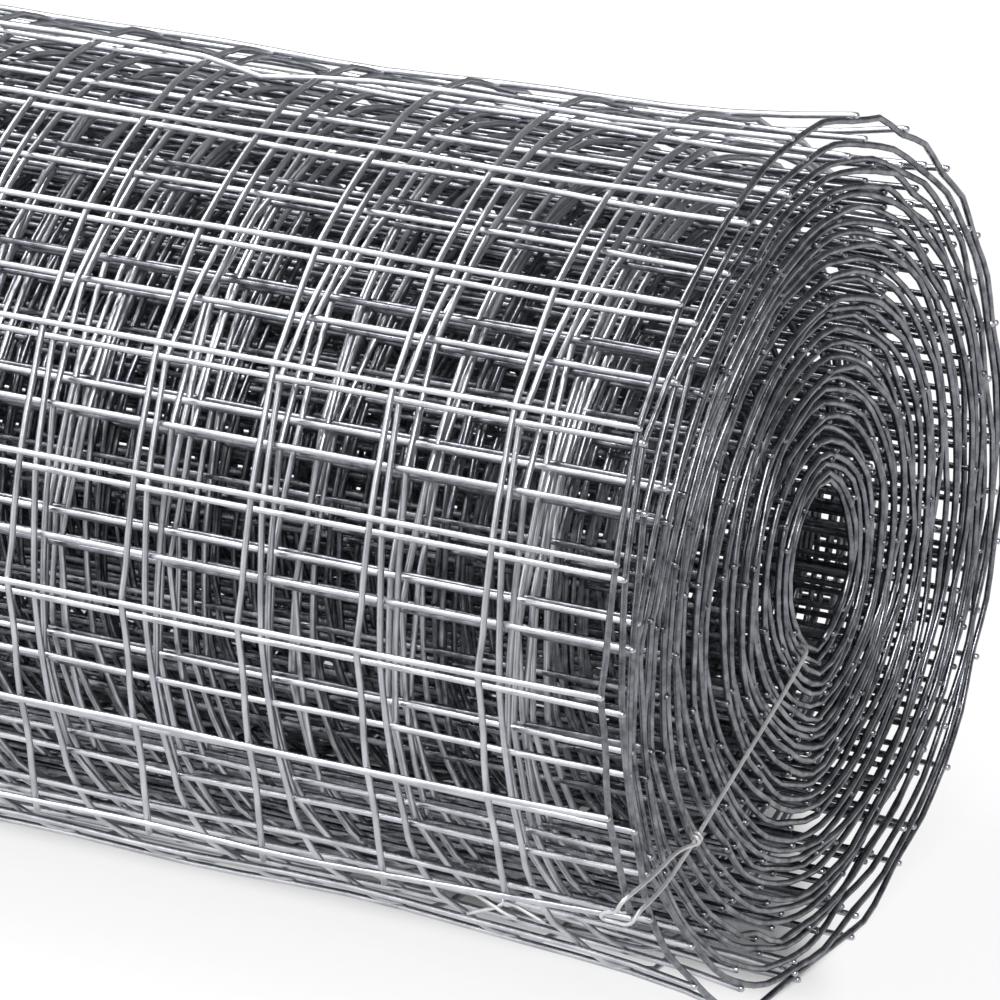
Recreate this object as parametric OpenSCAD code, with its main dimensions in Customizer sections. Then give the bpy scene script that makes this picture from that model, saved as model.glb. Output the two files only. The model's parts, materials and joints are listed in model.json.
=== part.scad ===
// Roll of galvanised square welded wire mesh, lying on its side and held shut by one tie wire.
// The axis of the roll runs along X, the floor is Z = 0 and the tied end faces +X.

/* [Mesh] */
// Pitch of the square mesh, wire centre to wire centre
mesh_pitch = 25.4; // [12:0.1:50]
// Cells across the width of the mesh
cells_wide = 20; // [4:1:48]
// Diameter of the mesh wire
wire_d = 1.3; // [0.8:0.1:2]
// Length of the cross wires past the edge wires
cut_out = 2; // [1:0.5:4]
// How far two wires sink into each other at a weld
weld_sink = 0.15; // [0.1:0.05:0.4]

/* [Winding] */
// Diameter of the bore that the innermost turn leaves
bore_d = 24; // [16:1:80]
// Turns wound on top of each other
turns = 30; // [18:1:45]
// How far each turn settles into the cells of the turn under it
nest = 0.2; // [0:0.05:0.4]
// Outer turns that have sprung loose
loose_turns = 2; // [0:1:6]
// Extra gap under each loose turn
loose_gap = 1; // [0:0.1:3]
// Depth of the gaps between the turns, as the ends show them
gap_depth = 5; // [4:0.5:20]
// Narrowing of each side of a gap towards its bottom
gap_taper = 0.1; // [0.05:0.01:0.2]

/* [Tie wire] */
// Diameter of the tie wire
tie_d = 0.8; // [0.6:0.1:1.2]
// Room between the tie wire and what it lies on
tie_clear = 0.1; // [0.05:0.05:0.3]
// Length of the inner end that is tucked between the two innermost turns
tuck_len = 2.5; // [1:0.5:3.5]
// Place of the tucked end round the axis, from straight down towards the front
tuck_angle = 16; // [0:1:30]
// Place of the twist round the axis, from straight down towards the front
twist_angle = 52; // [40:1:60]
// Distance of the twist from the outside of the roll
twist_in = 23; // [20:1:32]
// Place of the hook on the free edge of the mesh, from straight down towards the front
hook_angle = 60; // [58:1:75]
// Distance of the hook from the edge wires
hook_in = 4.5; // [3.5:0.5:12]
// Gap between the centres of the two strands at the hook, if the last cross wire leaves it
hook_gap = 2.3; // [1.8:0.1:4]

/* [Hidden] */
$fn = 96;

// Edge wires: the plane of their centres and the face that they end in
mesh_w = mesh_pitch * cells_wide;
edge_x = mesh_w / 2;
face_x = edge_x + wire_d / 2;

// Each turn adds a line wire and the cross wire that lies on its outside
turn_pitch = 2 * wire_d - nest;
turn_gap = turn_pitch - wire_d;
tuck_gap = max(turn_gap, tie_d + 2 * (tie_clear + gap_taper) - gap_taper);
bore_r = bore_d / 2;
last_turn = turns - 1;
function loose_steps(turn) = max(0, turn - (last_turn - loose_turns));
function line_r(turn) = bore_r + wire_d / 2 + turn * turn_pitch
    + (turn > 0 ? tuck_gap - turn_gap : 0) + loose_steps(turn) * loose_gap;

// Outer turn: its cross wires lie on its line wires, and one of them bears on the floor
skin_r = line_r(last_turn) + wire_d / 2;
cross_r = line_r(last_turn) + wire_d - weld_sink;
outer_r = cross_r + wire_d / 2;
rows_to_floor = round((360 - hook_angle) / 360 * 2 * PI * cross_r / mesh_pitch);
row_angle = (360 - hook_angle) / rows_to_floor;
rows = floor(360 / row_angle);

// Tie wire: heights of its centre line over the end and radii of its main places
tie_sides = 10;
tie_seat = tie_d / 2 + tie_clear;
lie_x = face_x + tie_seat;
strand_gap = max(hook_gap, wire_d + 2 * tie_seat);
wrap_r = tie_d + tie_clear;
twist_x = lie_x + wrap_r;
tuck_r = (line_r(0) + line_r(1)) / 2;
twist_r = outer_r - twist_in;
band_r = skin_r + tie_seat;
rim_r = outer_r + tie_seat;
wrap_turn = 450;
wrap_step = 30;

// Shares of the way from the twist to the rim, each with the half gap there as a share of the hook's
strand_route = [[0.25, 0.4], [0.5, 0.6], [0.8, 0.55]];
// Power by which the strands swing from the angle of the twist to that of the hook
strand_swing = 0.75;
bend_steps = 4;

function polar(x, r, angle) = [x, -r * sin(angle), outer_r - r * cos(angle)];
function unit(v) = v / norm(v);
function arc_angle(length, r) = length / r * 180 / PI;

tuck_point = polar(lie_x, tuck_r, tuck_angle);
twist_point = polar(twist_x, twist_r, twist_angle);
main_way = unit(twist_point - tuck_point);
main_side = unit(cross(main_way, [1, 0, 0]));
main_rise = cross(main_side, main_way);

// Point on a strand between the twist and the rim, on the side given as -1 or 1
function strand_point(stop, side) =
    let (r = twist_r + stop[0] * (skin_r - twist_r))
    let (middle = twist_angle + pow(stop[0], strand_swing) * (hook_angle - twist_angle))
    polar(lie_x, r, middle + side * arc_angle(stop[1] * strand_gap, r));

// Points of a strand from the end of the roll over its edge wire, beside the last cross wire
function rim_points(side) =
    let (angle = hook_angle + side * arc_angle(strand_gap / 2, band_r))
    [
        polar(lie_x, skin_r - tie_d, angle),
        polar(lie_x, band_r, angle),
        polar(edge_x - tie_d, band_r, angle),
    ];

// Hook that goes over the last cross wire from one of its sides to the other
hook_points = [
    for (turn = [-90 : 30 : 90])
        polar(
            edge_x - hook_in + strand_gap / 2 - cos(turn) * strand_gap / 2,
            band_r + cos(turn) * (rim_r - band_r),
            hook_angle + arc_angle(sin(turn) * strand_gap / 2, band_r)
        )
];

// Free end of the wire, wrapped round its own main strand
wrap_points = [
    for (turn = [0 : wrap_step : wrap_turn])
        twist_point - main_way * wrap_r * turn / 360
            + wrap_r * (cos(turn) * main_side + sin(turn) * main_rise)
];

function reversed(list) = [for (i = [len(list) - 1 : -1 : 0]) list[i]];

tie_route = concat(
    [polar(edge_x - tuck_len, tuck_r, tuck_angle), polar(edge_x - tie_d, tuck_r, tuck_angle)],
    [tuck_point, tuck_point + main_way * 2 * tie_d],
    [twist_point - main_way * 4 * tie_d, twist_point],
    [for (stop = strand_route) strand_point(stop, -1)],
    rim_points(-1),
    hook_points,
    reversed(rim_points(1)),
    [for (stop = reversed(strand_route)) strand_point(stop, 1)],
    wrap_points
);

// Smooth line that starts and ends on a route and rounds each of its corners
function middle(a, b) = (a + b) / 2;
function corner(a, b, c, t) =
    let (start = middle(a, b), end = middle(b, c))
    (1 - t) * (1 - t) * start + 2 * t * (1 - t) * b + t * t * end;
function rounded(route) = concat(
    [route[0]],
    [
        for (i = [1 : len(route) - 2], step = [0 : bend_steps - 1])
            corner(route[i - 1], route[i], route[i + 1], step / bend_steps)
    ],
    [middle(route[len(route) - 2], route[len(route) - 1]), route[len(route) - 1]]
);

function heading(line, i) = unit(line[min(i + 1, len(line) - 1)] - line[max(i - 1, 0)]);
function squared(v, way) = unit(v - (v * way) * way);
// Side directions that turn with the line without twisting about it
function sides_of(line) = [
    for (
        i = 0, side = squared([0, 1, 0], heading(line, 0));
        i < len(line);
        i = i + 1, side = squared(side, heading(line, min(i, len(line) - 1)))
    ) side
];

// Round wire swept along a line
module wire(line, d) {
    side = sides_of(line);
    rings = [
        for (i = [0 : len(line) - 1], k = [0 : tie_sides - 1])
            let (turn = 360 * k / tie_sides)
            let (across = cross(heading(line, i), side[i]))
            line[i] + d / 2 * (cos(turn) * side[i] + sin(turn) * across)
    ];
    last_ring = (len(line) - 1) * tie_sides;
    walls = [
        for (i = [0 : len(line) - 2], k = [0 : tie_sides - 1])
            let (a = i * tie_sides + k, b = i * tie_sides + (k + 1) % tie_sides)
            each [[a, a + tie_sides, b], [b, a + tie_sides, b + tie_sides]]
    ];
    ends = [
        [for (k = [0 : tie_sides - 1]) k],
        [for (k = [tie_sides - 1 : -1 : 0]) last_ring + k]
    ];
    polyhedron(rings, concat(walls, ends));
}

// Gap between a turn and the next, cut into the end given as -1 or 1; a skin stays under the outer turn
module gap_section(turn, end) {
    low = line_r(turn) + wire_d / 2;
    high = line_r(turn + 1) - (turn + 1 < last_turn ? wire_d / 2 : wire_d);
    floor_x = edge_x - gap_depth;
    polygon([
        [low, end * edge_x],
        [high, end * edge_x],
        [high - gap_taper, end * floor_x],
        [low + gap_taper, end * floor_x],
    ]);
}

// Space between two line wires of the outer turn
module cell_section(cell) {
    translate([skin_r - wire_d, -edge_x + cell * mesh_pitch + wire_d / 2])
        square([2 * wire_d, mesh_pitch - wire_d]);
}

// Half section of the roll, with the radius across and the length upwards
module roll_section() {
    difference() {
        translate([bore_r, -edge_x]) square([skin_r - bore_r, mesh_w]);
        for (turn = [0 : last_turn - 1], end = [-1, 1]) gap_section(turn, end);
        for (cell = [0 : cells_wide - 1]) cell_section(cell);
    }
    for (turn = [0 : last_turn], end = [-1, 1])
        translate([line_r(turn), end * edge_x]) circle(d = wire_d);
}

// Cross wire of the outer turn, counted from the free edge
module cross_wire(row) {
    translate(polar(-edge_x - cut_out, cross_r, hook_angle + row * row_angle))
        rotate([0, 90, 0])
        cylinder(d = wire_d, h = mesh_w + 2 * cut_out);
}

module mesh_roll() {
    color("silver") {
        translate([0, 0, outer_r])
            rotate([0, 90, 0])
            rotate_extrude() roll_section();
        for (row = [0 : rows - 1]) cross_wire(row);
    }
}

module tie_wire() {
    color("gainsboro") wire(rounded(tie_route), tie_d);
}

mesh_roll();
tie_wire();
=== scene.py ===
"""A roll of galvanised welded wire mesh, dressed wire by wire over its construction model.

The mesh is one long sheet wound into a roll.  A place on the sheet is told by two numbers: how
many cells it lies from the free edge, and where it lies across the width.  WoundSheet turns those
two numbers into a point of the wound roll, and every wire is a round tube along such points.
Lengths are in millimetres, up to the meshes and the studio, which are in metres.
"""

from __future__ import annotations

import json
import logging
import math
from dataclasses import dataclass, field
from enum import Enum, IntEnum

import bpy
import numpy as np
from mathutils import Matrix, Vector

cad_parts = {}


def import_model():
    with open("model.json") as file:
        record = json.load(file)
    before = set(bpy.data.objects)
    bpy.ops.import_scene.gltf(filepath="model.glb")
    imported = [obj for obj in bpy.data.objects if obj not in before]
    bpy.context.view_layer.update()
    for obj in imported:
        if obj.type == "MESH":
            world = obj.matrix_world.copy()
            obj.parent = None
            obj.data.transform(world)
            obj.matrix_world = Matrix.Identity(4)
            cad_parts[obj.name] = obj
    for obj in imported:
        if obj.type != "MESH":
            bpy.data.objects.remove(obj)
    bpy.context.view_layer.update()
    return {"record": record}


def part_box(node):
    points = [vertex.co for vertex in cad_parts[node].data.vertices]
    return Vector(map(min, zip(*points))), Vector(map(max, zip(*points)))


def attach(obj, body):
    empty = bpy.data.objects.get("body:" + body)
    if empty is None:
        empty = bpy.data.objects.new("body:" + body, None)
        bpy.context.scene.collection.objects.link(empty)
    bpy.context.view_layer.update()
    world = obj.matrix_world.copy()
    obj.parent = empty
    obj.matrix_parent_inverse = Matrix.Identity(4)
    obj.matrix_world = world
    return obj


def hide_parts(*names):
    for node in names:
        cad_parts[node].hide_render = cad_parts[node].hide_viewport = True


MM = 0.001
SEED = 20
# Degrees in a turn, and the place of the roll's front, from straight down.
TURN = 360
FRONT = 90.0
# How far the construction model's cross wires reach past its edge wires.
CUT_OUT = 2.0
# How far the roll's own weight lets its axis down.
SETTLE = 1.1
log = logging.getLogger("mesh_roll")


class Node(Enum):
    """The construction nodes that the dressed pieces stand for."""

    ROLL = "mesh_roll"
    TIE = "tie_wire"


class Slot(Enum):
    """The record's material slots."""

    MESH = "galvanised_mesh"
    TIE = "tie_wire"


class Wave(IntEnum):
    """The wavy unevennesses of the sheet, each with its own phases."""

    HEIGHT = 0
    ROW = 1
    LINE = 2
    STRAY = 3


def linear(colour: str) -> tuple[float, float, float, float]:
    """Turns an sRGB hex colour into the linear colour that the shaders take.

    A dark value is divided by 12.92; a lighter one follows the power curve of the sRGB standard.

    Args:
        colour: The colour as six hex digits after a hash sign.

    Returns:
        Red, green, blue and alpha, linear.
    """
    srgb = np.array([int(colour[i : i + 2], 16) for i in (1, 3, 5)]) / 255.0
    rgb = np.where(srgb <= 0.04045, srgb / 12.92, ((srgb + 0.055) / 1.055) ** 2.4)
    return (*(float(c) for c in rgb), 1.0)


def add_node(
    tree: bpy.types.NodeTree,
    kind: str,
    sockets: dict[str | int, object] | None = None,
    **settings: object,
) -> bpy.types.Node:
    """Adds a node, sets it up and links it.

    Args:
        tree: The node tree to add to.
        kind: The node's type name.
        sockets: Values for its inputs by name or number; an output socket is linked instead.
        settings: Values for the node's own properties.

    Returns:
        The new node.
    """
    node = tree.nodes.new(kind)
    for name, value in settings.items():
        setattr(node, name, value)
    for name, value in (sockets or {}).items():
        if isinstance(value, bpy.types.NodeSocket):
            tree.links.new(value, node.inputs[name])
        else:
            node.inputs[name].default_value = value
    return node


@dataclass(frozen=True)
class ZincFinish:
    """Galvanised steel wire, drawn and then dipped in zinc.

    It gives the eye a satin grey metal, with brighter and duller patches and a grain that breaks up
    its highlights.  The real grain is finer: it is drawn as coarse as it needs to be to show.
    """

    name: str
    bright: str
    dull: str
    roughness: tuple[float, float]
    patch_mm: float = 9.0
    grain_mm: float = 0.7
    bump_mm: float = 0.05

    def material(self) -> bpy.types.Material:
        """Builds the material from two noises: wide patches for its colour, a fine grain for its gloss.

        Returns:
            The new material.
        """
        material = bpy.data.materials.new(self.name)
        material.use_nodes = True
        tree = material.node_tree
        shader = tree.nodes["Principled BSDF"]
        place = add_node(tree, "ShaderNodeTexCoord").outputs["Object"]
        patch = add_node(
            tree,
            "ShaderNodeTexNoise",
            {"Vector": place, "Scale": 1 / (self.patch_mm * MM), "Detail": 3.0, "Roughness": 0.6},
        )
        grain = add_node(
            tree,
            "ShaderNodeTexNoise",
            {"Vector": place, "Scale": 1 / (self.grain_mm * MM), "Detail": 2.0, "Roughness": 0.5},
        )
        spread = add_node(
            tree,
            "ShaderNodeMapRange",
            {"Value": patch.outputs["Fac"], "From Min": 0.3, "From Max": 0.7},
        )
        colour = add_node(
            tree,
            "ShaderNodeMix",
            {"Factor": spread.outputs["Result"], "A": linear(self.dull), "B": linear(self.bright)},
            data_type="RGBA",
        )
        rough = add_node(
            tree,
            "ShaderNodeMapRange",
            {
                "Value": grain.outputs["Fac"],
                "From Min": 0.25,
                "From Max": 0.75,
                "To Min": self.roughness[0],
                "To Max": self.roughness[1],
            },
        )
        bump = add_node(
            tree,
            "ShaderNodeBump",
            {"Height": grain.outputs["Fac"], "Strength": 0.5, "Distance": self.bump_mm * MM},
        )
        shader.inputs["Metallic"].default_value = 1.0
        tree.links.new(colour.outputs["Result"], shader.inputs["Base Color"])
        tree.links.new(rough.outputs["Result"], shader.inputs["Roughness"])
        tree.links.new(bump.outputs["Normal"], shader.inputs["Normal"])
        return material


@dataclass(frozen=True)
class Sweep:
    """Wires swept in one call: their points, the corners of their walls and those of their ends."""

    points: np.ndarray
    walls: np.ndarray
    ends: np.ndarray


@dataclass
class Wires:
    """Round wires gathered into one mesh, each swept along its own path."""

    # On the texture: spans of a wire in one strip, and the share of a strip left free on each side.
    strip: int = 160
    margin: float = 0.05
    # A wire's cut end on its strip: the first one's place, and half of its width and height.
    end_start: float = 0.004
    end_half: tuple[float, float] = (0.003, 0.3)
    _sweeps: list[Sweep] = field(default_factory=list)

    def add(
        self,
        paths: np.ndarray,
        across: tuple[float, float, float],
        radius: np.ndarray | float,
        sides: int,
    ) -> None:
        """Sweeps a circle along each path.

        At every point of a path the circle stands square to the path's direction: one arm of its
        frame is the given direction made square to the path, the other is square to both.

        Args:
            paths: Points in millimetres, wires by rings by three.
            across: A direction that no path runs along.
            radius: The wire's radius in millimetres, one number or one for each ring.
            sides: How many sides the circle is drawn with.
        """
        along = np.gradient(paths, axis=1)
        along /= np.linalg.norm(along, axis=2, keepdims=True)
        arm = np.asarray(across) - along * (along @ np.asarray(across))[..., None]
        arm /= np.linalg.norm(arm, axis=2, keepdims=True)
        other = np.cross(along, arm)
        turn = np.arange(sides) * 2 * math.pi / sides
        ring = arm[:, :, None] * np.cos(turn)[:, None] + other[:, :, None] * np.sin(turn)[:, None]
        reach = np.broadcast_to(np.asarray(radius, dtype=float), paths.shape[:2])[..., None, None]
        points = paths[:, :, None] + ring * reach
        wires, rings = paths.shape[:2]
        index = np.arange(wires * rings * sides).reshape(wires, rings, sides)
        ahead = np.roll(index, -1, axis=2)
        walls = np.stack([index[:, :-1], ahead[:, :-1], ahead[:, 1:], index[:, 1:]], axis=-1)
        ends = np.stack([index[:, 0, ::-1], index[:, -1]], axis=1)
        self._sweeps.append(Sweep(points.reshape(-1, 3), walls, ends))

    def _strips(self, sweep: Sweep) -> int:
        """How many texture strips a sweep's wires take."""
        wires, spans = sweep.walls.shape[:2]
        return wires * math.ceil(spans / self.strip)

    def _texture(self, sweep: Sweep, first: int, total: int) -> tuple[np.ndarray, np.ndarray]:
        """Lays each wire's wall flat in strips, one above the other, with its ends as small rounds.

        Args:
            sweep: The wires added in one call.
            first: The number of the sweep's first strip.
            total: How many strips the whole texture holds.

        Returns:
            Texture places for the corners of the walls and of the cut ends.
        """
        wires, spans, sides = sweep.walls.shape[:3]
        each = math.ceil(spans / self.strip)
        wire, span, side = np.meshgrid(np.arange(wires), np.arange(spans), np.arange(sides), indexing="ij")
        row = first + wire * each + span // self.strip
        left = (span % self.strip) / self.strip
        u = np.stack([left, left, left + 1 / self.strip, left + 1 / self.strip], axis=-1)
        tall = 1 - 2 * self.margin
        low = self.margin + tall * side / sides
        high = self.margin + tall * (side + 1) / sides
        v = (row[..., None] + np.stack([low, high, high, low], axis=-1)) / total
        rim = np.arange(sides) * 2 * math.pi / sides
        end = np.array([self.end_start, ((spans - 1) % self.strip) / self.strip])
        end_row = first + np.arange(wires)[:, None] * each + np.array([0, each - 1])
        end_u = np.broadcast_to(end[:, None] + self.end_half[0] * np.cos(rim), (wires, 2, sides))
        end_v = (end_row[..., None] + 0.5 + self.end_half[1] * np.sin(rim)) / total
        walls = np.stack([u, v], axis=-1).reshape(-1, 2)
        return walls, np.stack([end_u, end_v], axis=-1).reshape(-1, 2)

    def build(
        self,
        name: str,
        slot: Slot,
        material: bpy.types.Material,
        node: Node | None = None,
    ) -> bpy.types.Object:
        """Makes the mesh object and sets it on the frame.

        Args:
            name: The piece's name.
            slot: The record's slot its finish comes from; not used.
            material: Its finish.
            node: The construction node it stands for, where it stands for one.

        Returns:
            The new object.
        """
        total = sum(self._strips(sweep) for sweep in self._sweeps)
        base, first = 0, 0
        corners, sizes, smooth, places = [], [], [], []
        for sweep in self._sweeps:
            walls = sweep.walls.reshape(-1, 4)
            ends = sweep.ends.reshape(-1, sweep.ends.shape[-1])
            corners += [walls.ravel() + base, ends.ravel() + base]
            sizes += [np.full(len(walls), 4), np.full(len(ends), ends.shape[1])]
            smooth += [np.ones(len(walls), dtype=bool), np.zeros(len(ends), dtype=bool)]
            places += self._texture(sweep, first, total)
            base += len(sweep.points)
            first += self._strips(sweep)
        points = np.concatenate([sweep.points for sweep in self._sweeps]) * MM
        size = np.concatenate(sizes)
        mesh = bpy.data.meshes.new(name)
        mesh.vertices.add(len(points))
        mesh.vertices.foreach_set("co", points.astype(np.float32).ravel())
        mesh.loops.add(int(size.sum()))
        mesh.loops.foreach_set("vertex_index", np.concatenate(corners).astype(np.int32))
        mesh.polygons.add(len(size))
        mesh.polygons.foreach_set("loop_start", (np.cumsum(size) - size).astype(np.int32))
        mesh.polygons.foreach_set("use_smooth", np.concatenate(smooth))
        layer = mesh.uv_layers.new(name="OFBake")
        layer.data.foreach_set("uv", np.concatenate(places).astype(np.float32).ravel())
        mesh.update(calc_edges=True)
        mesh.materials.append(material)
        piece = bpy.data.objects.new(name, mesh)
        bpy.context.scene.collection.objects.link(piece)
        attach(piece, "root")
        if node:
            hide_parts(node.value)
        log.info("%s: %d faces, %d triangles", name, len(size), int((size - 2).sum()))
        return piece


@dataclass(frozen=True)
class Slack:
    """A place where a turn stands off the turn inside it.

    turn counts from the outside, angle and spread are in degrees, extra in millimetres.
    """

    turn: int
    angle: float
    spread: float
    extra: float


@dataclass(frozen=True)
class Bump:
    """A bell curve round the roll: its middle and spread in degrees, and its depth."""

    angle: float
    spread: float
    depth: float


@dataclass
class WoundSheet:
    """The wound sheet: where a place on the flat mesh lies in the roll, in millimetres.

    Angles are in degrees.  A place round the roll is an angle about its axis, from straight down
    towards the front; an angle wound is counted along the sheet from its free edge.
    """

    half_width: float
    axis_height: float
    cells_wide: int = 20
    wire: float = 1.32
    # Turns, how far apart they lie where they are wound close, and the place of the free edge.
    turns: int = 30
    lift: float = 2.235
    free_angle: float = 60.3
    # A cell's length along the smooth winding, and how far outside a line wire a cross wire is welded.
    cell_run: float = 24.65
    weld: float = 1.05
    # Half the width and half the height of the leaf-shaped bore.
    bore_half: tuple[float, float] = (10.8, 14.6)
    # Angles wound, each with how far the outermost turn stands off the next one there, and the
    # degrees over which those steps are blended and which the line wires go on past the free edge.
    outer_slack: tuple[tuple[float, float], ...] = (
        (0, 5.6),
        (35, 6.2),
        (60, 6.4),
        (97, 4.5),
        (125, 1.5),
        (150, 1.3),
        (180, 1.8),
        (215, 2.6),
        (245, 3.4),
        (285, 4.0),
        (305, 5.2),
        (325, 5.0),
        (345, 3.2),
        (360, 0.8),
    )
    blend: int = 12
    lead: int = 12
    slack: tuple[Slack, ...] = (
        Slack(1, 165, 45, 2.0),
        Slack(2, 128, 38, 2.2),
        Slack(3, 205, 40, 0.6),
        Slack(4, 15, 30, 0.6),
        Slack(5, 70, 40, 1.8),
        Slack(7, 290, 55, 2.0),
        Slack(8, 92, 45, 1.7),
        Slack(9, 12, 24, 0.5),
        Slack(13, 10, 24, 0.5),
        Slack(15, 80, 45, 1.6),
        Slack(20, 350, 50, -0.7),
        Slack(23, 345, 50, -0.7),
    )
    # Chance unevenness of the gaps between turns: its usual size, its limits and its spread in degrees.
    uneven: float = 0.22
    uneven_limits: tuple[float, float] = (-0.45, 0.6)
    uneven_spread: float = 20.0
    # Cells by which the welds of each outer turn lie behind the outermost turn's at the front, and the
    # cells before and after the front in which a turn's slip stays the same.
    behind: tuple[float, ...] = (0.0, 0.23, 0.78, 0.63, 0.9, 0.66, 0.76, 0.8)
    slip_cells: tuple[float, float] = (-5.0, 6.0)
    # Bends at the welds: cell numbers with the share of a straight wire's sag, the most they may be,
    # where they stand out, how far they are drawn in elsewhere, and their spread by chance.
    kink_share: tuple[tuple[float, float], ...] = (
        (0, 1.25),
        (20, 1.15),
        (30, 0.9),
        (60, 0.7),
        (120, 0.5),
        (200, 0.35),
        (360, 0.2),
    )
    kink_limit: float = 1.5
    kink_out: Bump = Bump(105.0, 65.0, 2.2)
    kink_in: float = 1.15
    kink_chance: float = 0.4
    # Share of a cell over which a bend at a weld is rounded, and cells past which all bends are soft.
    kink_round: float = 0.08
    kink_soft: float = 90.0
    # Where the outer turns lie tighter between the ends of the roll, and by what share at each turn.
    tight: tuple[Bump, ...] = (Bump(20.0, 30.0, 6.5), Bump(202.0, 26.0, 6.2))
    tight_share: tuple[tuple[float, float], ...] = ((0.15, 0), (0.35, 1), (0.9, 1), (1.2, 0.5), (9, 0))
    # Where the turns under the outermost one sag at the ends of the roll, and by what share at each turn.
    sagged: tuple[Bump, ...] = (Bump(328.0, 24.0, 3.0), Bump(26.0, 18.0, 2.6))
    sagged_share: tuple[tuple[float, float], ...] = (
        (1, 0),
        (1.4, 1),
        (2, 1),
        (2.4, 0.45),
        (3, 0.45),
        (3.4, 0),
    )
    end_reach: float = 30.0
    # The free edge springs open away from the tie: the distance over which it does, the cells that it
    # takes in, how many cells it goes back, how far it stands off and the power of its curve.
    spring_reach: float = 70.0
    spring_cells: float = 1.3
    spring_back: float = 0.11
    spring_out: float = 4.2
    spring_power: float = 1.6
    # How far the tie pulls the sheet in beside it, and how many cells from the free edge.
    pull_in: float = 1.2
    pull_cells: float = 2.0
    # Waves over the sheet: their number, their pace by the cell and by the millimetre, and the size of
    # each unevenness.  Straying starts and is full at these cells, and fades this near an end.
    wave_count: int = 6
    wave_pace: tuple[float, float] = (0.12, 0.02)
    wave_size: tuple[float, ...] = (0.9, 1.4, 0.6, 5.0)
    stray_cells: tuple[float, float] = (20.0, 60.0)
    stray_reach: float = 60.0
    # Chance shift of each cross wire along itself, less in the first cells, and the least share of it.
    sway: float = 0.7
    sway_cells: float = 12.0
    sway_least: float = 0.35
    # The least and the most that a cross wire reaches past the edge line wires.
    cut_ends: tuple[float, float] = (0.75, 1.3)
    # The first cells of the sheet, whose end is put in the plane of the roll's end.
    level_cells: int = 8

    cells: int = field(init=False)
    overhang: np.ndarray = field(init=False, repr=False)
    _angle: np.ndarray = field(init=False, repr=False)
    _radius: np.ndarray = field(init=False, repr=False)
    _run: np.ndarray = field(init=False, repr=False)
    _slip: np.ndarray = field(init=False, repr=False)
    _kink: np.ndarray = field(init=False, repr=False)
    _wave: np.ndarray = field(init=False, repr=False)
    _phase: np.ndarray = field(init=False, repr=False)
    _sway: np.ndarray = field(init=False, repr=False)
    _drift: float = field(init=False, repr=False)

    def __post_init__(self) -> None:
        """Winds the sheet, slides its turns on each other, bends its wires and shakes them."""
        rng = np.random.default_rng(SEED)
        self._wind(rng)
        self._slide()
        self._bend(rng)
        self._shake(rng)

    def _leaf(self, wound: np.ndarray) -> np.ndarray:
        """The bore's radius along the innermost turn.

        The bore is the leaf between two arcs that meet above and below the axis.  An arc's own radius
        is the sum of the squares of the leaf's halves over twice its half width, and the bore's radius
        is where a ray from the axis meets the arc.

        Args:
            wound: Angles wound within one turn.

        Returns:
            The radius at each of them.
        """
        half, rise = self.bore_half
        bow = (half * half + rise * rise) / (2 * half)
        side = np.abs(np.sin(np.radians(wound + self.free_angle)))
        return np.sqrt(bow**2 - (bow - half) ** 2 * (1 - side**2)) - (bow - half) * side

    def _wind(self, rng: np.random.Generator) -> None:
        """Winds the sheet from the bore outwards and measures along it.

        The gap under a turn is the lift, its slack and a smooth chance unevenness.  The innermost turn
        follows the bore, and each further turn's radius is the last one's with its own gap added.  The
        run along the sheet is the winding's length, summed from the free edge.

        Args:
            rng: Where chance comes from.
        """
        step = np.arange(float(TURN))
        angle = np.arange(float(self.turns * TURN))
        extra = np.zeros(len(angle))
        extra[:TURN] = np.interp(step, *zip(*self.outer_slack))
        window = np.hanning(2 * self.blend + 1)
        extra = np.convolve(np.pad(extra, self.blend, mode="edge"), window / window.sum(), "valid")
        for place in self.slack:
            centre = place.turn * TURN + (place.angle - self.free_angle) % TURN
            extra += place.extra * np.exp(-0.5 * ((angle - centre) / place.spread) ** 2)
        reach = round(3 * self.uneven_spread)
        bell = np.exp(-0.5 * (np.arange(-reach, reach + 1) / self.uneven_spread) ** 2)
        uneven = np.convolve(rng.normal(size=len(extra) + 2 * reach), bell, "valid")
        extra += np.clip(self.uneven * uneven / uneven.std(), *self.uneven_limits)
        gap = (self.lift + extra).reshape(self.turns, TURN)
        inner = self._leaf(step) + self.wire / 2 + gap[-2, -1] * (1 - step / TURN)
        stack = np.concatenate([gap[:-1], inner[None]])
        radius = np.cumsum(stack[::-1], axis=0)[::-1].ravel()
        self._angle = np.concatenate([np.arange(-float(self.lead), 0.0), angle])
        self._radius = np.concatenate([np.full(self.lead, radius[0]), radius])
        length = np.radians(np.hypot(self._radius, np.degrees(np.gradient(self._radius, self._angle))))
        run = np.concatenate([[0.0], np.cumsum((length[1:] + length[:-1]) / 2)])
        self._run = run - np.interp(0.0, self._angle, run)
        self.cells = int(self._run[-1] / self.cell_run)

    def _slide(self) -> None:
        """Slides the outer turns on each other until their welds lie as given at the front.

        A turn's slip is the part of a cell by which its welds would miss their place there.
        """
        front = FRONT - self.free_angle + TURN * np.arange(len(self.behind))
        passed = np.interp(front, self._angle, self._run) / self.cell_run
        slip = (passed - passed[0] - self.behind + 0.5) % 1 - 0.5
        spans = passed[:, None] + self.slip_cells
        self._slip = np.stack([spans, np.repeat(slip[:, None], 2, axis=1)]).reshape(2, -1)

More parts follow.
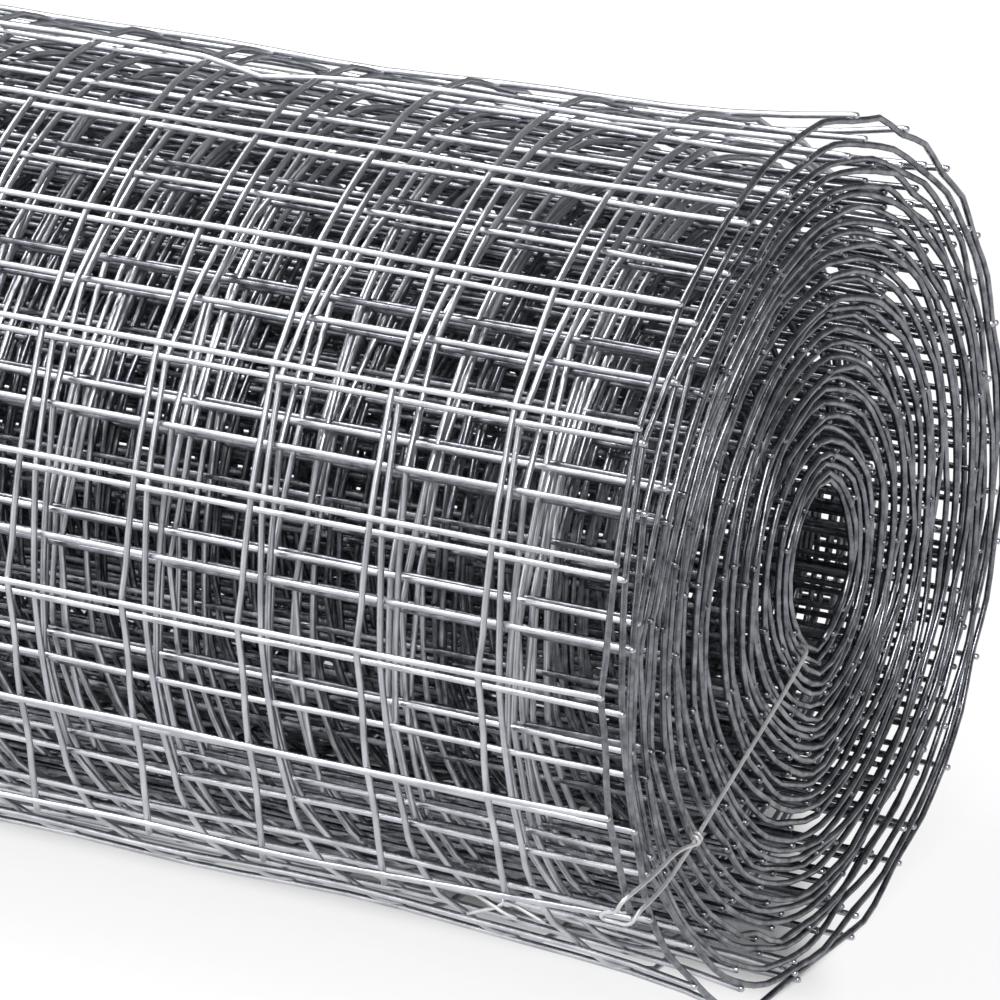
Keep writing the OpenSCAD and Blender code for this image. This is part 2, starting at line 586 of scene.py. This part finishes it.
    def _bend(self, rng: np.random.Generator) -> None:
        """Works out how far each weld is bent off the smooth winding.

        A straight wire between two welds sags under the winding by the cell's length squared over
        eight times the radius.  A share of that sag is turned outwards at the front and inwards
        elsewhere, and chance adds to it.

        Args:
            rng: Where chance comes from.
        """
        welds = np.arange(self.cells + 2.0)
        sag = self.cell_run**2 / 8 / self._radius_at(welds)
        share = np.interp(welds, *zip(*self.kink_share))
        bend = self._bumps(self._angle_at(welds), (self.kink_out,)) - self.kink_in
        chance = rng.normal(0.0, self.kink_chance, len(welds))
        self._kink = np.minimum(sag * share, self.kink_limit) * bend + chance

    def _shake(self, rng: np.random.Generator) -> None:
        """Draws by chance the waves of the sheet, the shift of each cross wire and its cut ends.

        Args:
            rng: Where chance comes from.
        """
        welds = np.arange(self.cells + 2)
        self._wave = rng.uniform(-1, 1, (self.wave_count, 2)) * self.wave_pace
        self._phase = rng.uniform(0, 2 * math.pi, (len(Wave), self.wave_count))
        free = np.clip(welds / self.sway_cells, self.sway_least, 1)
        self._sway = rng.normal(0.0, self.sway, len(welds)) * free
        self.overhang = rng.uniform(*self.cut_ends, (2, self.cells + 1))
        outer = np.arange(float(self.level_cells))
        rows = self._waves(outer, 0 * outer, Wave.ROW)
        lines = self._waves(outer, 0 * outer + self.half_width, Wave.LINE)
        self._drift = float((rows + lines).mean())

    def _angle_at(self, cell: np.ndarray) -> np.ndarray:
        """The angle wound from the free edge to a cell number, with the slip of its turn."""
        run = (cell + np.interp(cell, *self._slip)) * self.cell_run
        return np.interp(run, self._run, self._angle)

    def _radius_at(self, cell: np.ndarray) -> np.ndarray:
        """The smooth winding's radius at a cell number."""
        return np.interp(self._angle_at(cell), self._angle, self._radius)

    def _kinks(self, cell: np.ndarray) -> np.ndarray:
        """How far the line wires stand off the smooth winding.

        Where a weld stands out, the wire sinks away from it as a parabola with a rounded peak.  Where
        it is drawn in, the wire rises from it to a bend halfway to the next weld: straight in the outer
        turns, and as a cosine wave in the inner ones.

        Args:
            cell: Cell numbers along the sheet.

        Returns:
            The distance at each of them, outwards.
        """
        weld = np.clip(np.floor(cell).astype(int), 0, self.cells)
        share = np.clip(cell - weld, 0, 1)
        height = np.where(share < 0.5, self._kink[weld], self._kink[weld + 1])
        off = np.hypot(np.minimum(share, 1 - share), self.kink_round)
        sharp = 0.5 - 2 * off
        soft = 0.5 * np.cos(2 * math.pi * share)
        drawn = sharp + (soft - sharp) * np.clip(cell / self.kink_soft, 0, 1)
        return height * np.where(height > 0, (1 - 2 * off) ** 2 - 1 / 3, drawn)

    def _waves(self, cell: np.ndarray, x: np.ndarray, wave: Wave) -> np.ndarray:
        """A gentle unevenness of the sheet: the mean of sine waves that run askew over it."""
        turns = self._wave[:, 0] * np.asarray(cell)[..., None] + self._wave[:, 1] * np.asarray(x)[..., None]
        return self.wave_size[wave] * np.sin(2 * math.pi * turns + self._phase[wave]).mean(axis=-1)

    def _bumps(self, wound: np.ndarray, bumps: tuple[Bump, ...]) -> np.ndarray:
        """Sums bell curves round the roll.

        Each is its depth times e to the power of minus the square of the angle off its middle, counted
        in spreads.

        Args:
            wound: Angles wound.
            bumps: The bell curves.

        Returns:
            Their sum at each angle.
        """
        total = np.zeros_like(wound)
        for bump in bumps:
            off = (wound + self.free_angle - bump.angle + TURN / 2) % TURN - TURN / 2
            total = total + bump.depth * np.exp(-((off / bump.spread) ** 2))
        return total

    def _waist(self, wound: np.ndarray, x: np.ndarray) -> np.ndarray:
        """How much nearer the axis the sheet lies than the winding has it.

        Between the ends of the roll the outer turns lie tighter on it and under it.  At the two ends
        the turns under the outermost one sag outwards, and both fade with the distance from an end.

        Args:
            wound: Angles wound.
            x: Places across the width, from the middle.

        Returns:
            The distance at each place, inwards.
        """
        inside = 1 - np.exp(-np.clip(self.half_width - np.abs(x), 0, None) / self.end_reach)
        turn = wound / TURN
        drawn = np.interp(turn, *zip(*self.tight_share)) * self._bumps(wound, self.tight)
        sunk = np.interp(turn, *zip(*self.sagged_share)) * self._bumps(wound, self.sagged)
        return inside * drawn - (1 - inside) * sunk

    def points(self, cell: np.ndarray, x: np.ndarray, out: float = 0.0) -> np.ndarray:
        """Finds where places on the sheet lie in the roll.

        A place's angle and radius come from the winding, with the free edge sprung open away from the
        tie.  Its place along the axis is its place across the width, moved by waves and chance, and
        the floor stops it from sinking lower.

        Args:
            cell: How many cells from the last cross wire at the free edge.
            x: Place across the width, from the middle.
            out: How far outside the line wires' middle.

        Returns:
            The points, with one more axis of three.
        """
        cell, x = np.broadcast_arrays(np.asarray(cell, dtype=float), np.asarray(x, dtype=float))
        sprung = np.clip((self.half_width - x) / self.spring_reach, 0, 1)
        edge = np.clip(1 - cell, 0, self.spring_cells)
        pulled = self.pull_in * (1 - sprung) * np.exp(-((cell / self.pull_cells - 1) ** 2))
        flare = self.spring_out * sprung * edge**self.spring_power - pulled
        wound = self._angle_at(cell + self.spring_back * sprung * edge)
        radius = self._radius_at(cell) + self._kinks(cell) + flare + self._waves(cell, x, Wave.HEIGHT) + out
        radius = radius - self._waist(wound, x)
        sway = np.interp(cell, np.arange(self.cells + 2), self._sway)
        inside = np.clip((self.half_width - np.abs(x)) / self.stray_reach, 0, 1)
        stray = inside * np.interp(cell, self.stray_cells, (0.0, 1.0)) * self._waves(cell, x, Wave.STRAY)
        across = x + self._waves(cell, 0 * x, Wave.ROW) + self._waves(cell, x, Wave.LINE) + sway
        across = across - self._drift + stray
        turn = np.radians(wound + self.free_angle)
        height = np.maximum(self.axis_height - radius * np.cos(turn), self.wire / 2 + self.weld - out)
        return np.stack([across, -radius * np.sin(turn), height], axis=-1)


@dataclass
class WireMesh:
    """The mesh itself: line wires round the roll and cross wires along it, welded outside them.

    The outer turns have the lit copy of the zinc, and the edge wires and the turns inside have the darker
    copy, whose darkness is painted shade.
    """

    sheet: WoundSheet
    lit_finish: bpy.types.Material
    shaded_finish: bpy.types.Material
    # Where the finely drawn outer turns end, and where the turns under them that catch the light do; the
    # line wires of those turns keep the lit copy of the zinc, and the wires further in have the darker copy,
    # which is painted shade.
    loose_cells: int = 66
    lit_cells: int = 150
    # Cells by which the line wires go on past the first and the last cross wire.
    nub: float = 0.14
    # A cross wire's cut tip: its length, and its radius as a share of the wire's.
    tip: float = 0.35
    tip_share: float = 0.45
    # Zinc at the welds: the share by which it thickens a line wire, and its spread.
    zinc_share: float = 0.1
    zinc_spread: float = 1.2
    # A dent in one cross wire: its row, its place across the width, its spread and its depth.
    dent: tuple[int, float, float, float] = (7, 143.0, 8.0, 2.5)
    # Shares of a cell at which a line wire has its rings, close together at the welds.
    steps: tuple[float, ...] = (0.0, 0.03, 0.1, 0.28, 0.5, 0.72, 0.9, 0.97)
    inner_steps: tuple[float, ...] = (0.0, 0.06, 0.35, 0.65, 0.94)
    sides: int = 8
    inner_sides: int = 6

    def _cells(self, first: int, last: int, steps: tuple[float, ...]) -> np.ndarray:
        """The cell numbers of the rings from one weld to another."""
        inside = (np.arange(first, last)[:, None] + np.asarray(steps)).ravel()
        return np.append(inside, last)

    def _swell(self, cell: np.ndarray) -> np.ndarray:
        """The line wire's radius, thickened by zinc at the welds as a bell curve."""
        off = np.abs(cell - np.round(cell)) * self.sheet.cell_run
        return self.sheet.wire / 2 * (1 + self.zinc_share * np.exp(-((off / self.zinc_spread) ** 2)))

    def _lines(self, wires: Wires, x: np.ndarray, cell: np.ndarray, sides: int) -> None:
        """Adds line wires at the given places across the width."""
        paths = self.sheet.points(cell[None, :], x[:, None])
        wires.add(paths, (1.0, 0.0, 0.0), self._swell(cell)[None, :], sides)

    def _crosses(self, wires: Wires, cell: np.ndarray, spans: int, sides: int) -> None:
        """Adds cross wires at the given welds, with their cut tips past the edge line wires.

        Args:
            wires: The mesh to add to.
            cell: The cell numbers of the welds.
            spans: How many spans a wire is drawn with between the edge line wires.
            sides: How many sides a wire is drawn with.
        """
        half = self.sheet.half_width
        x = np.broadcast_to(np.linspace(-half, half, spans + 1), (len(cell), spans + 1))
        left, right = self.sheet.overhang[:, cell, None]
        far_end, near_end = -half - left, half + right
        x = np.concatenate([far_end, far_end + self.tip, x, near_end - self.tip, near_end], axis=1)
        paths = self.sheet.points(cell[:, None], x, self.sheet.weld)
        row, place, spread, depth = self.dent
        paths[..., 2] -= depth * np.exp(-(((x - place) / spread) ** 2)) * (cell == row)[:, None]
        radius = np.full(x.shape[1], self.sheet.wire / 2)
        radius[[0, -1]] *= self.tip_share
        wires.add(paths, (0.0, 0.0, 1.0), radius[None, :], sides)

    def build(self) -> list[bpy.types.Object]:
        """Builds the mesh in pieces: the loose outer turns finely, the turns under them more plainly.

        Returns:
            The new objects.
        """
        half, wide, cells = self.sheet.half_width, self.sheet.cells_wide, self.sheet.cells
        x = np.linspace(-half, half, wide + 1)
        middle = wide // 2 + 1
        outer_cells = np.append(-self.nub, self._cells(0, self.loose_cells, self.steps))
        edge_cells = np.append(self._cells(self.loose_cells, cells, self.steps), cells + self.nub)
        next_cells = self._cells(self.loose_cells, self.lit_cells, self.inner_steps)
        inner_cells = np.append(self._cells(self.lit_cells, cells, self.inner_steps), cells + self.nub)
        outer, edges, following, near, far, loose, packed = (Wires() for _ in range(7))
        self._lines(outer, x[1:-1], outer_cells, self.sides)
        self._lines(edges, x[[0, -1]], np.concatenate([outer_cells[:-1], edge_cells]), self.sides)
        self._lines(following, x[1:-1], next_cells, self.inner_sides)
        self._lines(near, x[middle:-1], inner_cells, self.inner_sides)
        self._lines(far, x[1:middle], inner_cells, self.inner_sides)
        self._crosses(loose, np.arange(self.loose_cells), 2 * wide, self.sides)
        self._crosses(packed, np.arange(self.loose_cells, cells + 1), wide, self.inner_sides)
        # The lit copy of the zinc on the outer turns and the darker copy on the edge wires and the turns
        # inside are one zinc painted lit and in shade.
        named = {
            "line_wires_outer_turns": (outer, self.lit_finish),
            "line_wires_both_edges": (edges, self.shaded_finish),
            "line_wires_next_turns": (following, self.lit_finish),
            "line_wires_near_half": (near, self.shaded_finish),
            "line_wires_far_half": (far, self.shaded_finish),
            "cross_wires_outer_turns": (loose, self.lit_finish),
            "cross_wires_inner_turns": (packed, self.shaded_finish),
        }
        return [wires.build(name, Slot.MESH, finish, Node.ROLL) for name, (wires, finish) in named.items()]


@dataclass
class SoftWire:
    """A thin soft wire, bent by hand, that lies by the free edge of the sheet."""

    sheet: WoundSheet
    finish: bpy.types.Material
    wire: float
    # A wrapped end: how far it climbs in a turn, in wire widths, and its points in a turn.
    climb: float = 1.1
    turn_points: int = 12
    # How the tube is drawn: a direction that no route runs along, its sides and its texture's strip.
    askew: tuple[float, float, float] = (0.31, 0.42, -0.85)
    sides: int = 12
    strip: int = 60

    def near_edge(self, line: int, across: float, up: float, out: float) -> np.ndarray:
        """A point near a weld of the last cross wire.

        Args:
            line: The line wire of the weld, counted from the tied end.
            across: Distance past that line wire towards the tied end.
            up: Distance above the last cross wire, along the sheet.
            out: Distance outside the middle of the line wire.

        Returns:
            The point in millimetres.
        """
        place = self.sheet.half_width * (1 - 2 * line / self.sheet.cells_wide)
        weld = self.sheet.points(0.0, place, 0.0)
        away = np.array([0.0, weld[1], weld[2] - self.sheet.axis_height])
        away /= np.linalg.norm(away)
        along = np.cross(away, (1.0, 0.0, 0.0))
        return weld + np.array([across, 0.0, 0.0]) + along * up + away * out

    def on_end(self, across: float, y: float, z: float) -> np.ndarray:
        """A point on the end of the roll, from the axis in the plane of the edge line wires."""
        return np.array([self.sheet.half_width + across, y, self.sheet.axis_height + z])

    def wrapped(self, start: np.ndarray, way: np.ndarray, reach: float, turns: float) -> np.ndarray:
        """A helix round another wire.

        Args:
            start: Where the other wire's middle is at the first turn.
            way: The direction, of length one, in which the helix climbs.
            reach: Radius of the helix.
            turns: How many turns it makes.

        Returns:
            Points of the helix: a circle whose middle moves on by about a wire's width each turn.
        """
        turn = np.linspace(0, 2 * math.pi * turns, int(self.turn_points * turns))
        side = np.cross(way, (1.0, 0.0, 0.0))
        side /= np.linalg.norm(side)
        rise = np.cross(side, way)
        ring = np.cos(turn)[:, None] * side + np.sin(turn)[:, None] * rise
        return start + way * (turn / 2 / math.pi * self.wire * self.climb)[:, None] + ring * reach

    def rounded(self, corners: np.ndarray, share: float = 0.27, rounds: int = 3) -> np.ndarray:
        """Cuts the corners of a path again and again, so that the wire bends instead of breaking.

        Args:
            corners: The path's corners.
            share: The part of each side that is cut off at both of its ends.
            rounds: How often all corners are cut.

        Returns:
            The rounded path, with the same two ends.
        """
        path = corners
        for _ in range(rounds):
            ahead = path[1:] - path[:-1]
            cut = np.stack([path[:-1] + ahead * share, path[1:] - ahead * share], axis=1).reshape(-1, 3)
            path = np.concatenate([path[:1], cut[1:-1], path[-1:]])
        return path

    def tubes(self, *routes: np.ndarray) -> Wires:
        """Draws each route as a round wire.

        Args:
            routes: The corners of each wire's path.

        Returns:
            The wires, ready to be built.
        """
        wires = Wires(strip=self.strip)
        for route in routes:
            wires.add(self.rounded(route)[None], self.askew, self.wire / 2, self.sides)
        return wires


@dataclass
class TieWire(SoftWire):
    """The wire that holds the roll shut, from the bore to a twist and over the last cross wire."""

    wire: float = 0.85
    # Where the wire comes out between the innermost turns, and where its end is wrapped round itself.
    tuck: tuple[float, float, float] = (1.0, -7.2, -14.6)
    knot: tuple[float, float, float] = (2.4, -56.1, -36.8)
    # The wrapped end: its radius in wire widths, and its turns.
    wrap: tuple[float, float] = (1.02, 1.6)

    def route(self) -> np.ndarray:
        """Lays out the path from its tucked end to its wrapped end.

        Returns:
            Corners of the path: tucked end, main strand, lower strand, hook, upper strand, wrapped end.
        """
        tuck, knot = self.on_end(*self.tuck), self.on_end(*self.knot)
        way = (knot - tuck) / np.linalg.norm(knot - tuck)
        out = self.sheet.weld
        corners = [
            tuck + [-5.0, 0.3, 0.6],
            tuck + [-0.4, 0.0, 0.0],
            tuck + way * 2.5 + [0.9, 0.0, 0.0],
            knot - way * 6,
            knot,
            self.on_end(2.3, -62.2, -39.4),
            self.on_end(2.2, -65.8, -41.0),
            self.on_end(2.2, -71.0, -42.4),
            self.on_end(1.8, -77.2, -43.4),
            self.near_edge(0, 0.6, -1.2, 1.9),
            self.near_edge(0, -2.6, -1.2, out + 0.6),
            self.near_edge(0, -4.6, -0.7, out + 1.0),
            self.near_edge(0, -5.2, 0.4, out + 1.2),
            self.near_edge(0, -4.2, 1.3, out + 0.6),
            self.near_edge(0, -1.4, 2.1, out + 0.8),
            self.on_end(1.0, -82.9, -39.7),
            self.on_end(2.3, -77.4, -38.2),
            self.on_end(2.6, -70.3, -37.3),
            self.on_end(2.8, -63.8, -35.8),
        ]
        reach, turns = self.wrap
        return np.concatenate([np.array(corners), self.wrapped(knot, -way, self.wire * reach, turns)])

    def build(self) -> bpy.types.Object:
        """Builds the tie wire as one tube."""
        return self.tubes(self.route()).build("tie_wire_loop", Slot.TIE, self.finish, Node.TIE)


@dataclass
class EdgeTwist(SoftWire):
    """Two short ends of wire at the free end of a line wire, one of them twisted round it."""

    wire: float = 0.7
    line: int = 1
    # Room between the twist and the line wire, and the turns that the twist makes.
    room: float = 0.02
    turns: float = 1.5

    def build(self) -> bpy.types.Object:
        """Builds the twist: one wire wound round the line wire, and one that crosses under it.

        Returns:
            The new object.
        """
        reach = (self.wire + self.sheet.wire) / 2 + self.room
        nub = self.near_edge(self.line, 0.0, -1.9, 0.0)
        way = self.near_edge(self.line, 0.0, -2.9, 0.0) - nub
        ends = [(8.0, -5.0, 1.5), (5.0, -3.4, 1.4), (2.2, -2.0, 1.1)]
        tail = [(-2.2, -3.9, 1.3), (-5.0, -4.7, 1.7), (-8.5, -6.0, 2.5)]
        under = [(-9.5, -1.0, 0.6), (-6.5, -1.3, 0.9), (-3.0, -2.7, 1.5), (0.0, -4.6, 1.9), (1.6, -5.6, 1.2)]
        start, stop, cross = (
            np.array([self.near_edge(self.line, *place) for place in places])
            for places in (ends, tail, under)
        )
        wound = np.concatenate([start, self.wrapped(nub, way, reach, self.turns), stop])
        return self.tubes(wound, cross).build("free_edge_twist", Slot.TIE, self.finish)


@dataclass
class Studio:
    """A white floor, soft light from above, from the left and from the front, and the photo's camera."""

    sheet: WoundSheet
    # The camera: its angles in degrees, its place from the middle of the tied end's rim, which lies a
    # little off the axis, and its lens and sensor.
    azimuth: float = 29.092
    elevation: float = 19.774
    stand: tuple[float, float, float] = (557.67, -1124.38, 464.01)
    rim_shift: tuple[float, float] = (-4.3, 0.8)
    lens: float = 252.0
    sensor: float = 36.0
    # The place along the roll, in metres, that the lamps face.
    lit_place: float = 0.1

    def _white(self, tree: bpy.types.NodeTree) -> bpy.types.NodeSocket:
        """Tells which rays see plain white.

        Args:
            tree: The floor's node tree.

        Returns:
            A socket that is 1 for the rays of the camera, of mirrors and of glass, and 0 for others.
        """
        path = add_node(tree, "ShaderNodeLightPath")
        seen = add_node(
            tree,
            "ShaderNodeMath",
            {0: path.outputs["Is Camera Ray"], 1: path.outputs["Is Glossy Ray"]},
            operation="MAXIMUM",
        )
        clear = add_node(
            tree,
            "ShaderNodeMath",
            {0: seen.outputs[0], 1: path.outputs["Is Transmission Ray"]},
            operation="MAXIMUM",
        )
        return clear.outputs[0]

    def _under(self, tree: bpy.types.NodeTree) -> bpy.types.NodeSocket:
        """Tells how far a place on the floor lies under the roll.

        It is the product of four soft edges: in front, behind, at the tied end and at the far end.
        Each is a direction, and the distances along it, in metres, at which the edge starts and ends.

        Args:
            tree: The floor's node tree.

        Returns:
            A socket that is 1 under the roll and just behind it, and 0 away from it.
        """
        place = add_node(tree, "ShaderNodeTexCoord").outputs["Object"]
        half = self.sheet.half_width * MM
        edges = (
            ((0.0, 1.0, 0.0), -0.022, 0.0),
            ((0.0, -1.0, 0.0), -0.3, -0.12),
            ((-1.0, -0.55, 0.0), -0.008 - half, 0.01 - half),
            ((1.0, 0.0, 0.0), -0.03 - half, 0.01 - half),
        )
        under = 1.0
        for way, outside, inside in edges:
            along = add_node(tree, "ShaderNodeVectorMath", {0: place, 1: way}, operation="DOT_PRODUCT")
            share = add_node(
                tree,
                "ShaderNodeMapRange",
                {"Value": along.outputs["Value"], "From Min": outside, "From Max": inside},
                interpolation_type="SMOOTHSTEP",
            )
            both = {0: share.outputs["Result"], 1: under}
            under = add_node(tree, "ShaderNodeMath", both, operation="MULTIPLY").outputs[0]
        return under

    def world(self, level: float = 0.25) -> None:
        """Sets a plain dim surround, so that the wires turned from the lamps stay dark.

        Args:
            level: Its strength, where 1 is white.
        """
        world = bpy.data.worlds.new("studio")
        bpy.context.scene.world = world
        world.use_nodes = True
        ground = world.node_tree.nodes["Background"]
        ground.inputs["Color"].default_value = linear("#ffffff")
        ground.inputs["Strength"].default_value = level

    def floor(self, size: float = 12.0, faint: float = 0.12, deep: float = 0.92) -> None:
        """Lays a matt white floor that keeps the roll's shadow: deep under the roll and faint around it.

        Args:
            size: Its side in metres.
            faint: The part of the shadow that is seen around the roll.
            deep: The part of the shadow that is seen under the roll.
        """
        material = bpy.data.materials.new("floor_white")
        material.use_nodes = True
        tree = material.node_tree
        tree.nodes.remove(tree.nodes["Principled BSDF"])
        matt = add_node(tree, "ShaderNodeBsdfDiffuse", {"Color": linear("#f4f4f4")})
        plain = add_node(tree, "ShaderNodeEmission", {"Color": linear("#ffffff"), "Strength": 1.0})
        white = add_node(
            tree,
            "ShaderNodeMath",
            {0: self._under(tree), 1: faint - deep, 2: 1 - faint},
            operation="MULTIPLY_ADD",
        )
        share = add_node(
            tree,
            "ShaderNodeMath",
            {0: self._white(tree), 1: white.outputs[0]},
            operation="MULTIPLY",
        )
        mixed = add_node(
            tree,
            "ShaderNodeMixShader",
            {0: share.outputs[0], 1: matt.outputs[0], 2: plain.outputs[0]},
        )
        tree.links.new(mixed.outputs[0], tree.nodes["Material Output"].inputs["Surface"])
        mesh = bpy.data.meshes.new("floor")
        reach = size / 2
        corners = [(-reach, -reach, 0.0), (reach, -reach, 0.0), (reach, reach, 0.0), (-reach, reach, 0.0)]
        mesh.from_pydata(corners, [], [(0, 1, 2, 3)])
        mesh.materials.append(material)
        floor = bpy.data.objects.new("floor", mesh)
        bpy.context.scene.collection.objects.link(floor)

    def lamp(self, name: str, place: tuple[float, float, float], size: float, power: float) -> None:
        """Hangs a square soft lamp that faces the roll.

        Args:
            name: The lamp's name.
            place: Where it hangs, in metres.
            size: Its side in metres.
            power: Its power in watts.
        """
        light = bpy.data.lights.new(name, "AREA")
        light.shape = "SQUARE"
        light.size = size
        light.energy = power
        lamp = bpy.data.objects.new(name, light)
        x, y, z = place[0] - self.lit_place, place[1], place[2] - self.sheet.axis_height * MM
        lamp.location = place
        lamp.rotation_euler = (math.atan2(math.hypot(x, y), z), 0.0, math.atan2(x, -y))
        bpy.context.scene.collection.objects.link(lamp)

    def camera(self) -> None:
        """Sets the camera where the photo was taken from."""
        data = bpy.data.cameras.new("camera")
        data.lens = self.lens
        data.sensor_width = self.sensor
        data.clip_end = 100.0
        camera = bpy.data.objects.new("camera", data)
        rim = (self.sheet.half_width, self.rim_shift[0], self.sheet.axis_height + self.rim_shift[1])
        camera.location = [(a + b) * MM for a, b in zip(rim, self.stand)]
        camera.rotation_euler = (math.radians(90 - self.elevation), 0.0, math.radians(self.azimuth))
        bpy.context.scene.collection.objects.link(camera)
        bpy.context.scene.camera = camera

    def build(self) -> None:
        """Sets up the whole studio."""
        self.world()
        self.floor()
        self.lamp("top", (-0.75, -0.35, 1.7), 1.0, 46.0)
        self.lamp("left", (-1.4, -2.2, 0.9), 1.5, 20.0)
        self.lamp("front", (0.95, -1.4, 1.45), 0.6, 31.0)
        self.camera()
        bpy.context.scene.view_settings.view_transform = "Standard"


def main() -> None:
    """Builds the roll, its tie and the studio over the construction model."""
    logging.basicConfig(level=logging.INFO, format="%(message)s")
    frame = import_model()
    low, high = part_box(Node.ROLL.value)
    bore = frame["record"]["mounts"][0]["pos_m"]
    sheet = WoundSheet(
        half_width=(high[0] - low[0]) / 2 / MM - CUT_OUT,
        axis_height=bore[2] / MM - SETTLE,
    )
    log.info("sheet: %d cells, %.0f mm long", sheet.cells, sheet.cells * sheet.cell_run)
    # The same zinc three times: a lit copy on the outer turns; a darker, more finely mottled copy on the
    # ends and inside, whose darkness is painted shade; and a paler, rougher copy on the soft tie wire, whose
    # paleness is painted light.
    lit_zinc = ZincFinish("galvanised_wire_lit", "#cfd1d6", "#a6a8ae", (0.3, 0.44))
    shaded_zinc = ZincFinish("galvanised_wire_painted_shade", "#94969c", "#4c4e54", (0.25, 0.38), patch_mm=3.5)
    # The tie wire's paler copy of the zinc is painted light, which lifts it out of the shade on the roll's
    # end.
    lit_tie_zinc = ZincFinish("galvanised_tie_wire_lit", "#e4e4e4", "#cacacc", (0.5, 0.64))
    WireMesh(sheet, lit_zinc.material(), shaded_zinc.material()).build()
    lit_tie_finish = lit_tie_zinc.material()
    TieWire(sheet, lit_tie_finish).build()
    EdgeTwist(sheet, lit_tie_finish).build()
    Studio(sheet).build()


if __name__ == "__main__":
    main()
